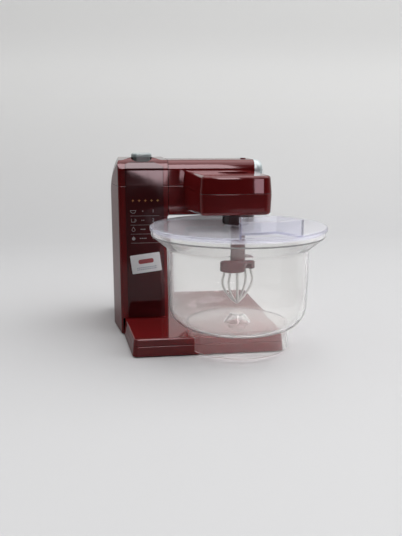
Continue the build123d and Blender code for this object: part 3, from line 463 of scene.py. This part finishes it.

# %% [markdown]
# The spring under the button is a plain coil of wire. Pressing the button shortens it, which a stiff coil
# can't do. A node tree draws the spiral from its turns, radius and height, and gives it a round section.


# %% The button's spring
def coil_tree():
    inputs = {"Turns": "Float", "Radius": "Float", "Height": "Float", "Steps": "Int",
              "Wire Radius": "Float", "Sides": "Int", "Foot": "Vector", "Finish": "Material"}
    tree, given, result, sockets = new_geometry_tree("wound_coil", inputs)
    spiral = add_node(tree, "GeometryNodeCurveSpiral")
    move = add_node(tree, "GeometryNodeTransform")
    for label, socket in (("Turns", "Rotations"), ("Radius", "Start Radius"), ("Radius", "End Radius"),
                          ("Height", "Height"), ("Steps", "Resolution")):
        tree.links.new(given.outputs[label], spiral.inputs[socket])
    tree.links.new(wire_tube(tree, given, spiral.outputs["Curve"]), move.inputs["Geometry"])
    tree.links.new(given.outputs["Foot"], move.inputs["Translation"])
    end_tree(tree, given, result, move.outputs["Geometry"])
    return tree, sockets


spring_low, spring_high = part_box("button_spring")
coil_wire = 0.45 * MM
coil_foot = ((spring_low[0] + spring_high[0]) / 2, (spring_low[1] + spring_high[1]) / 2,
             spring_low[2] + coil_wire)
spring_height = spring_high[2] - spring_low[2]
coil_values = {"Turns": 6.0, "Radius": (spring_high[0] - spring_low[0]) / 2 - coil_wire,
               "Height": spring_height - 2 * coil_wire, "Steps": 24, "Wire Radius": coil_wire, "Sides": 8,
               "Foot": coil_foot, "Finish": spring_wire}
coil_mesh = finished_mesh("button_coil", bpy.data.meshes.new("coil_start"), *coil_tree(), coil_values)
button_coil = place_piece("button_coil", coil_mesh, spring_wire, "stand")
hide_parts("button_spring")
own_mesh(button_coil)

# %% [markdown]
# The dark panel on the tower carries a small printed table: five amber marks for the speeds, and four
# rows that pair a picture, some dots and a numeral. Screen print is a film of ink with its own
# thickness, so it is built as thin raised shapes and not painted into the panel's colour. A helper
# turns flat outlines, in metres across and up, into a film that stands on a face towards the front.


# %% Helpers for thin printed films
merge_distance = 1e-7


def film_mesh(name, outlines, back, front):
    """Flat outlines, each a list of (across, up), made a film between two depths."""
    shape = bmesh.new()
    for outline in outlines:
        shape.faces.new([shape.verts.new((across, back, up)) for across, up in outline])
    bmesh.ops.remove_doubles(shape, verts=shape.verts[:], dist=merge_distance)
    grown = bmesh.ops.extrude_face_region(shape, geom=shape.faces[:], use_keep_orig=True)
    moved = [part for part in grown["geom"] if isinstance(part, bmesh.types.BMVert)]
    bmesh.ops.translate(shape, verts=moved, vec=(0.0, front - back, 0.0))
    bmesh.ops.recalc_face_normals(shape, faces=shape.faces[:])
    mesh = bpy.data.meshes.new(name)
    shape.to_mesh(mesh)
    shape.free()
    return mesh


def bar(across, up, width, height):
    left, right, low, high = across - width / 2, across + width / 2, up - height / 2, up + height / 2
    return [[(left, low), (right, low), (right, high), (left, high)]]


def arc_point(across, up, radius, angle):
    return (across + radius * math.cos(angle), up + radius * math.sin(angle))


def disc(across, up, radius, sides=20):
    return [[arc_point(across, up, radius, 2 * math.pi * i / sides) for i in range(sides)]]


def ring(across, up, radius, line, start=0.0, sweep=360.0, steps=24):
    """A ring, or the part of it from a start angle over a sweep, as a strip of four-sided faces."""
    turns = [math.radians(start + sweep * i / steps) for i in range(steps + 1)]
    return [[arc_point(across, up, reach, angle) for reach, angle in
             ((radius - line, a), (radius, a), (radius, b), (radius - line, b))]
            for a, b in zip(turns, turns[1:])]


panel_low, panel_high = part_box("tower_front_panel")
panel_front, panel_top = panel_low[1], panel_high[2]
panel_middle = (panel_low[0] + panel_high[0]) / 2
film_root, ink_thickness = 0.02 * MM, 0.09 * MM
ink_back, ink_front = panel_front + film_root, panel_front - ink_thickness
print("panel face at", round(panel_front, 5), "height", round(panel_low[2], 4), "to", round(panel_top, 4))

# %% [markdown]
# Ink is matt beside the gloss around it, and a screen leaves it a little thin in places. The pale ink is
# grey white, the amber one shades from orange to yellow along the row of marks, and both break up
# slightly at the scale of the screen's threads.


# %% The inks and the label's paper
thread_scale, thread_height = 2600.0, 10 * MICRON
ink_roughness = (0.45, 0.62)


def place_split(tree, coordinates="Object"):
    """Where a point lies, as separate outputs X, Y and Z."""
    place = add_node(tree, "ShaderNodeTexCoord")
    split = add_node(tree, "ShaderNodeSeparateXYZ")
    tree.links.new(place.outputs[coordinates], split.inputs["Vector"])
    return split.outputs


def ink(name, colour, worn_colour):
    material, tree, shader = new_finish(name)
    threads = noise_over(tree, thread_scale, detail=2.0)
    tree.links.new(two_tone(tree, threads, worn_colour, colour), shader.inputs["Base Color"])
    tree.links.new(to_range(tree, threads, *ink_roughness), shader.inputs["Roughness"])
    tree.links.new(bump_from(tree, threads, thread_height), shader.inputs["Normal"])
    return material


def graded_ink(name, first, second, start, end):
    """An ink that changes from one colour to another between two places across the toy."""
    material, tree, shader = new_finish(name)
    along = to_range(tree, place_split(tree)["X"], NOISE_LOW, NOISE_HIGH, start, end)
    tree.links.new(two_tone(tree, along, first, second), shader.inputs["Base Color"])
    threads = noise_over(tree, thread_scale, detail=2.0)
    tree.links.new(to_range(tree, threads, *ink_roughness), shader.inputs["Roughness"])
    return material


pale_ink = ink("pale_ink", (0.42, 0.39, 0.39), (0.26, 0.23, 0.23))
label_paper = ink("label_paper", (0.80, 0.82, 0.82), (0.74, 0.76, 0.76))
label_red = ink("label_red", (0.34, 0.045, 0.050), (0.27, 0.035, 0.040))
label_blue = ink("label_blue", (0.14, 0.20, 0.30), (0.11, 0.16, 0.25))
print("inks made:", pale_ink.name, label_paper.name, label_red.name, label_blue.name)

# %% [markdown]
# What repeats on the panel, the speed marks, the rules between the rows and the dots of the label, is one
# mark on a grid of points. A node tree does that for all three: it takes the mark as its geometry and
# has named inputs for the counts and the steps. Points are spread by their index, so a single row works
# too.


# %% A node tree that repeats a mark on a grid
def grid_tree():
    inputs = {"Columns": "Int", "Rows": "Int", "Column Step": "Float", "Row Step": "Float",
              "Finish": "Material"}
    tree, given, result, sockets = new_geometry_tree("marks_on_a_grid", inputs, takes="Mark")
    index = add_node(tree, "GeometryNodeInputIndex")
    spread = add_node(tree, "ShaderNodeCombineXYZ")
    count = calculate(tree, "MULTIPLY", given.outputs["Columns"], given.outputs["Rows"])
    column = calculate(tree, "MODULO", index.outputs["Index"], given.outputs["Columns"])
    full_rows = calculate(tree, "DIVIDE", index.outputs["Index"], given.outputs["Columns"])
    row = calculate(tree, "FLOOR", full_rows, 0.0)
    tree.links.new(calculate(tree, "MULTIPLY", column, given.outputs["Column Step"]), spread.inputs["X"])
    tree.links.new(calculate(tree, "MULTIPLY", row, given.outputs["Row Step"]), spread.inputs["Z"])
    copies = copies_on_points(tree, count, spread.outputs["Vector"], given.outputs["Mark"])
    end_tree(tree, given, result, copies.outputs["Instances"])
    return tree, sockets


marks_tree, marks_inputs = grid_tree()


def repeated(name, mark, columns, rows, column_step, row_step, finish):
    """The mark repeated on a grid, as a plain mesh."""
    values = {"Columns": columns, "Rows": rows, "Column Step": column_step, "Row Step": row_step,
              "Finish": finish}
    return finished_mesh(name, mark, marks_tree, marks_inputs, values)


# %% [markdown]
# The printed table keeps a margin to the panel's two sides. The marks stand about 42 mm below the panel's
# top, and the four rows follow below at steps of 10 mm with a thin rule under each.

# %% The printed table on the panel
left_margin, right_margin, marks_drop, rows_drop = 4.6 * MM, 5.1 * MM, 41.8 * MM, 11.5 * MM
picture_inset, dot_inset, numeral_inset = 3.1 * MM, 13.5 * MM, 6.6 * MM
row_step, row_count = -10.0 * MM, 4
table_left, table_right = panel_low[0] + left_margin, panel_high[0] - right_margin
mark_row_height = panel_top - marks_drop
first_row_height = mark_row_height - rows_drop
picture_column, dot_column = table_left + picture_inset, table_left + dot_inset
numeral_column = table_right - numeral_inset

petal_reach, petal_waist, petal_count = 1.7 * MM, 0.62 * MM, 4
mark_count, mark_margin = 5, 1.4 * MM
mark_step = (table_right - mark_margin - picture_column) / (mark_count - 1)
star = [[arc_point(picture_column, mark_row_height, petal_waist if i % 2 else petal_reach,
                   math.pi * i / petal_count) for i in range(2 * petal_count)]]
amber_ink = graded_ink("amber_ink", (0.42, 0.135, 0.025), (0.50, 0.26, 0.035), picture_column, table_right)
speed_marks = repeated("speed_marks", film_mesh("speed_mark", star, ink_back, ink_front),
                       mark_count, 1, mark_step, 0.0, amber_ink)
place_piece("speed_marks", speed_marks, amber_ink, "stand")

rule_thickness, rule_drop = 0.28 * MM, 5.2 * MM
rule = bar((table_left + table_right) / 2, first_row_height - rule_drop, table_right - table_left,
           rule_thickness)
row_rules = repeated("row_rules", film_mesh("row_rule", rule, ink_back, ink_front),
                     1, row_count, 0.0, row_step, pale_ink)
place_piece("row_rules", row_rules, pale_ink, "stand")
print("printed marks:", mark_count, "rules:", row_count)

# %% [markdown]
# The pictures are plain signs that any kitchen machine might carry: a bowl, a jug, a drop and a fruit.
# Each is drawn from bars, discs and arcs around its own row. The dots beside them and the numerals are as
# simple. A numeral starts as text, becomes a flat mesh, and only then is moved to its place.

# %% Pictures and dots
line = 0.42 * MM
big, middling, small = 3.0 * MM, 1.9 * MM, 0.62 * MM
row_heights = [first_row_height + row_step * i for i in range(row_count)]


def bowl_sign(x, z):
    bowl_rise, brim_rise, brim_width = 0.6 * MM, 0.75 * MM, 2.2 * big
    bowl = ring(x, z + bowl_rise, big, line, start=180.0, sweep=180.0, steps=16)
    return bowl + bar(x, z + brim_rise, brim_width, line)


def jug_sign(x, z):
    handle_radius = 0.6 * middling
    sides = bar(x - middling, z, line, 2 * middling) + bar(x + middling, z, line, 2 * middling)
    floor = bar(x, z - middling, 2 * middling + line, line)
    handle = ring(x + middling + line, z, handle_radius, line, start=-90.0, sweep=180.0, steps=10)
    return sides + floor + handle


def drop_sign(x, z):
    """A ring that is open at the top, and two straight strips from its ends to a tip."""
    middle, left_end, right_end = z - 0.5 * MM, 150.0, 30.0
    tip, inner_tip = (x, z + big), (x, z + big - 2 * line)
    low = ring(x, middle, middling, line, left_end, 360.0 + right_end - left_end, steps=18)
    outer, inner = middling, middling - line
    left = [arc_point(x, middle, reach, math.radians(left_end)) for reach in (outer, inner)]
    right = [arc_point(x, middle, reach, math.radians(right_end)) for reach in (outer, inner)]
    return low + [[*left, inner_tip, tip], [inner_tip, tip, *right]]


def fruit_sign(x, z):
    sink, stalk_rise, stalk_length = 0.3 * MM, 0.3 * MM, 0.9 * MM
    return disc(x, z - sink, middling) + bar(x, z + middling + stalk_rise, line, stalk_length)


def dots_sign(x, z, count):
    gap, sides = 2.0 * MM, 14
    first = x - gap * (count - 1) / 2
    return [outline for i in range(count) for outline in disc(first + gap * i, z, small, sides)]


signs = []
for number, (sign, height) in enumerate(zip((bowl_sign, jug_sign, drop_sign, fruit_sign), row_heights), 1):
    signs += sign(picture_column, height) + dots_sign(dot_column, height, number)
place_piece("row_pictures", film_mesh("row_pictures", signs, ink_back, ink_front), pale_ink, "stand")
print("signs:", len(signs), "outlines")

# %% Numerals
numeral_height = 5.2 * MM


def numeral(text, across, up, height):
    curve = bpy.data.curves.new("numeral_" + text, "FONT")
    curve.body, curve.size, curve.align_x, curve.align_y = text, height, "CENTER", "CENTER"
    curve.resolution_u = 4
    holder = bpy.data.objects.new("numeral_" + text, curve)
    bpy.context.scene.collection.objects.link(holder)
    mesh = bpy.data.meshes.new_from_object(holder.evaluated_get(bpy.context.evaluated_depsgraph_get()))
    bpy.data.objects.remove(holder)
    outlines = [[(mesh.vertices[i].co.x + across, mesh.vertices[i].co.y + up) for i in face.vertices]
                for face in mesh.polygons]
    bpy.data.meshes.remove(mesh)
    return outlines


numerals = []
for number, height in enumerate(row_heights, 1):
    numerals += numeral(str(number), numeral_column, height, numeral_height)
place_piece("row_numerals", film_mesh("row_numerals", numerals, ink_back, ink_front), pale_ink, "stand")
print("numerals:", len(row_heights), "from", len(numerals), "outlines")

# %% [markdown]
# A small paper label sits askew on the panel below the table. It is only paper: it carries a red band and
# two rows of blue dots, and says nothing. It could be painted into the panel's colour, but paper has a
# real edge that catches the light. So the label is a thin film with rounded corners, and its print is a
# still thinner film on top of it.

# %% The paper label
label_shift, label_rise, label_turn = 0.2 * MM, 62.2 * MM, math.radians(7.0)
label_centre = (panel_middle + label_shift, panel_low[2] + label_rise)
label_width, label_height, label_corner = 33.0 * MM, 21.0 * MM, 1.2 * MM
paper_thickness, print_thickness = 0.16 * MM, 0.04 * MM
label_back, label_front = panel_front + film_root, panel_front - paper_thickness
print_back, print_front = label_front + film_root, label_front - print_thickness


def turned(across, up):
    """A place on the label, from its own middle, on the panel."""
    return (label_centre[0] + across * math.cos(label_turn) - up * math.sin(label_turn),
            label_centre[1] + across * math.sin(label_turn) + up * math.cos(label_turn))


def rounded_outline(width, height, corner, steps=6):
    points = []
    for quarter, (side, level) in enumerate(((1, 1), (-1, 1), (-1, -1), (1, -1))):
        middle = (side * (width / 2 - corner), level * (height / 2 - corner))
        turns = [math.pi / 2 * (quarter + i / steps) for i in range(steps + 1)]
        points += [arc_point(*middle, corner, angle) for angle in turns]
    return points


def on_label(outline, rise=0.0):
    """An outline turned with the label, and moved up on the panel."""
    return [[(across, up + rise) for across, up in (turned(*point) for point in outline)]]


sheet_outline = on_label(rounded_outline(label_width, label_height, label_corner))
place_piece("panel_label", film_mesh("panel_label", sheet_outline, label_back, label_front), label_paper,
            "stand")
print("label at", [round(v, 4) for v in label_centre])

# %% The print on the label
band_width, band_height, band_corner, band_rise = 17.0 * MM, 5.0 * MM, 2.2 * MM, 2.2 * MM
red_band = on_label(rounded_outline(band_width, band_height, band_corner), band_rise)
place_piece("label_band", film_mesh("label_band", red_band, print_back, print_front), label_red, "stand")

dot_columns, dot_rows, dot_step = 11, 2, 2.0 * MM
dot_radius, dot_drop, dot_sides = 0.55 * MM, 6.6 * MM, 12
first_dot = disc(*turned(-dot_step * (dot_columns - 1) / 2, -dot_drop), dot_radius, dot_sides)
label_dots = repeated("label_dots", film_mesh("label_dot", first_dot, print_back, print_front),
                      dot_columns, dot_rows, dot_step * math.cos(label_turn), dot_step, label_blue)
for vertex in label_dots.vertices:
    vertex.co.z += (vertex.co.x - first_dot[0][0][0]) * math.tan(label_turn)
place_piece("label_dots", label_dots, label_blue, "stand")
print("dots on the label:", dot_columns * dot_rows)

# %% [markdown]
# The toy stands on a pale sheet that runs up behind it. One curved sweep gives the floor, the wall and
# the soft change between them, and it keeps the toy's shadow. The room in front of the toy is dim, and
# glossy plastic shows that at once. So to every ray that does not come straight or through clear plastic
# from the camera, the floor is about half as bright, and it is dark from a little way in front of the
# toy, as a dark table edge would be. The wall glows a little with its height, as a lit wall does.


# %% Floor and backdrop
def sweep_mesh():
    front, back, bend, top, half_width, steps = -3.0, 1.1, 0.5, 1.0, 8.0, 16
    outline = [(front, 0.0), (back - bend, 0.0)]
    for step in range(1, steps + 1):
        angle = math.pi / 2 * step / steps
        outline.append((back - bend + bend * math.sin(angle), bend - bend * math.cos(angle)))
    outline.append((back, top))
    mesh = bpy.data.meshes.new("pale_sweep")
    points = [(x, y, z) for y, z in outline for x in (-half_width, half_width)]
    faces = [(2 * i, 2 * i + 1, 2 * i + 3, 2 * i + 2) for i in range(len(outline) - 1)]
    mesh.from_pydata(points, [], faces)
    for polygon in mesh.polygons:
        polygon.use_smooth = True
    return mesh


def seen_directly(tree):
    """One where the camera looks straight or through clear plastic, and zero elsewhere."""
    rays = add_node(tree, "ShaderNodeLightPath")
    return calculate(tree, "MAXIMUM", rays.outputs["Is Camera Ray"], rays.outputs["Is Transmission Ray"])


def pale_paper():
    floor_tone, wall_tone_with_painted_light, tone_top = (0.595, 0.595, 0.602), (0.78, 0.78, 0.775), 0.35
    tone_low, tone_high, cloud_scale, cloud_amount = 0.32, 0.68, 1.3, 0.02
    near_share, far_share, share_reach = 0.46, 0.53, 0.3
    dark_share, dark_start, dark_end = 0.03, -0.36, -0.41
    full_low, full_high = 0.02, 0.3
    wall_glow, glow_top = 0.29, 0.4
    paper_roughness = 0.8
    material, tree, shader = new_finish("pale_paper")
    place = place_split(tree)
    cloud = to_range(tree, noise_over(tree, cloud_scale, detail=2.0), -cloud_amount, cloud_amount)
    # Painted light: the one sheet's tone grows paler from the floor up the wall, for the light that falls
    # on the wall.
    rise = to_range(tree, place["Z"], tone_low, tone_high, 0.0, tone_top)
    pale = two_tone(tree, calculate(tree, "ADD", rise, cloud), floor_tone, wall_tone_with_painted_light)
    floor_share = to_range(tree, place["Y"], near_share, far_share, -share_reach, share_reach)
    wall_share = to_range(tree, place["Z"], 0.0, 1.0, full_low, full_high)
    back_share = calculate(tree, "MAXIMUM", floor_share, wall_share)
    front_share = to_range(tree, place["Y"], 1.0, dark_share, dark_start, dark_end)
    seen = seen_directly(tree)
    share = calculate(tree, "MAXIMUM", seen, calculate(tree, "MULTIPLY", back_share, front_share))
    shaded = add_node(tree, "ShaderNodeVectorMath", operation="SCALE")
    tree.links.new(pale, shaded.inputs["Vector"])
    tree.links.new(share, shaded.inputs["Scale"])
    tree.links.new(shaded.outputs["Vector"], shader.inputs["Base Color"])
    shader.inputs["Roughness"].default_value = paper_roughness
    rays = add_node(tree, "ShaderNodeLightPath")
    shown = calculate(tree, "MAXIMUM", seen, rays.outputs["Is Glossy Ray"])
    glow = calculate(tree, "MULTIPLY", shown, to_range(tree, place["Z"], 0.0, wall_glow, 0.0, glow_top))
    shader.inputs["Emission Color"].default_value = (1.0, 1.0, 0.99, 1.0)
    tree.links.new(glow, shader.inputs["Emission Strength"])
    return material


sheet = bpy.data.objects.new("pale_sweep", sweep_mesh())
bpy.context.scene.collection.objects.link(sheet)
sheet.data.materials.append(pale_paper())
print("sheet:", sheet.name, "with", len(sheet.data.polygons), "faces")

# %% [markdown]
# The light in the room is soft and comes from above and from the sides, while the space in front of the
# toy is dim. That is why the faces towards the viewer look nearly black red and the left side of the
# tower looks grey. The room's ceiling and a softbox at the right do most of the work. Three pale cards only
# show in the gloss: a strip above the camera draws the long band on the arm's shoulder, a low window to the
# right draws the upright band on the head, and a small tilted card draws the slanting light at the panel's
# top. Where the camera looks straight at the world, it is pale.


# %% Light of the room
def soft_world():
    front_dim, front_near, front_far = 0.03, -0.50, -0.10
    low_light, high_light, low_from, high_from = 0.10, 1.18, 0.08, 0.75
    pale_level = 0.66
    world = bpy.data.worlds.new("soft_room")
    bpy.context.scene.world = world
    world.use_nodes = True
    tree = world.node_tree
    background = tree.nodes["Background"]
    place = place_split(tree, "Generated")
    from_front = to_range(tree, place["Y"], front_dim, 1.0, front_near, front_far)
    from_above = to_range(tree, place["Z"], low_light, high_light, low_from, high_from)
    room = calculate(tree, "MULTIPLY", from_front, from_above)
    pale = calculate(tree, "MULTIPLY", seen_directly(tree), pale_level)
    tree.links.new(calculate(tree, "MAXIMUM", room, pale), background.inputs["Strength"])
    background.inputs["Color"].default_value = (1.0, 1.0, 1.0, 1.0)
    return world


soft_room = soft_world()
print("world:", soft_room.name)


# %% Lamps
def area_lamp(name, aim, azimuth, elevation, distance, width, height, radiance,
              colour=(1.0, 1.0, 1.0), roll=0.0):
    """A rectangle of light that faces a place. Azimuth is in degrees to the right of the front."""
    turn, lift = math.radians(azimuth), math.radians(elevation)
    away = Vector((math.sin(turn) * math.cos(lift), -math.cos(turn) * math.cos(lift), math.sin(lift)))
    lamp = bpy.data.lights.new(name, "AREA")
    lamp.shape = "RECTANGLE"
    lamp.size, lamp.size_y = width, height
    lamp.energy = radiance * math.pi * width * height
    lamp.color = colour
    holder = bpy.data.objects.new(name, lamp)
    holder.location = Vector(aim) + away * distance
    facing = (-away).to_track_quat("-Z", "Y") @ Quaternion((0.0, 0.0, 1.0), math.radians(roll))
    holder.rotation_euler = facing.to_euler()
    bpy.context.scene.collection.objects.link(holder)
    return holder


toy_middle, shoulder, head_corner = (0.0, 0.0, 0.1), (-0.02, 0.02, 0.175), (0.05, -0.065, 0.165)
slant_drop = 16.4 * MM
slant_place = (panel_middle, panel_front, panel_top - slant_drop)
softbox = area_lamp("side_softbox", toy_middle, azimuth=80.0, elevation=62.0, distance=2.4,
                    width=3.2, height=3.2, radiance=1.68)
strip = area_lamp("front_strip", shoulder, azimuth=5.0, elevation=37.5, distance=1.30,
                  width=0.38, height=1.08, radiance=9.0, colour=(1.0, 0.93, 0.95))
window = area_lamp("low_window", head_corner, azimuth=26.0, elevation=5.2, distance=1.40,
                   width=0.17, height=0.16, radiance=5.6, colour=(1.0, 0.80, 0.90))
tilted = area_lamp("tilted_card", slant_place, azimuth=3.1, elevation=-2.5, distance=1.21,
                   width=0.118, height=0.06, radiance=8.0, colour=(1.0, 0.82, 0.87), roll=-22.7)
cards = (strip, window, tilted)
for card in cards:
    card.visible_diffuse = False
print("lamps placed:", ", ".join(holder.name for holder in (softbox, *cards)))

# %% [markdown]
# The camera stands a little to the left of the toy and looks slightly down, at the angle and distance
# of the photograph. Its place came from lines of the toy whose real sizes are known.


# %% Camera
def photo_camera():
    image_width, focal_pixels = 402.0, 632.0
    place = (-0.10217, -0.67908, 0.22227)
    yaw, pitch = math.radians(7.46), math.radians(11.95)
    camera = bpy.data.cameras.new("photo_camera")
    camera.sensor_fit = "HORIZONTAL"
    camera.sensor_width = 36.0
    camera.lens = focal_pixels * camera.sensor_width / image_width
    camera.clip_start = 0.01
    holder = bpy.data.objects.new("photo_camera", camera)
    holder.location = place
    look = Vector((math.sin(yaw) * math.cos(pitch), math.cos(yaw) * math.cos(pitch), -math.sin(pitch)))
    holder.rotation_euler = look.to_track_quat("-Z", "Y").to_euler()
    bpy.context.scene.collection.objects.link(holder)
    bpy.context.scene.camera = holder
    return holder


viewer = photo_camera()
bpy.context.scene.view_settings.view_transform = "Standard"
print("camera at", [round(v, 4) for v in viewer.location])
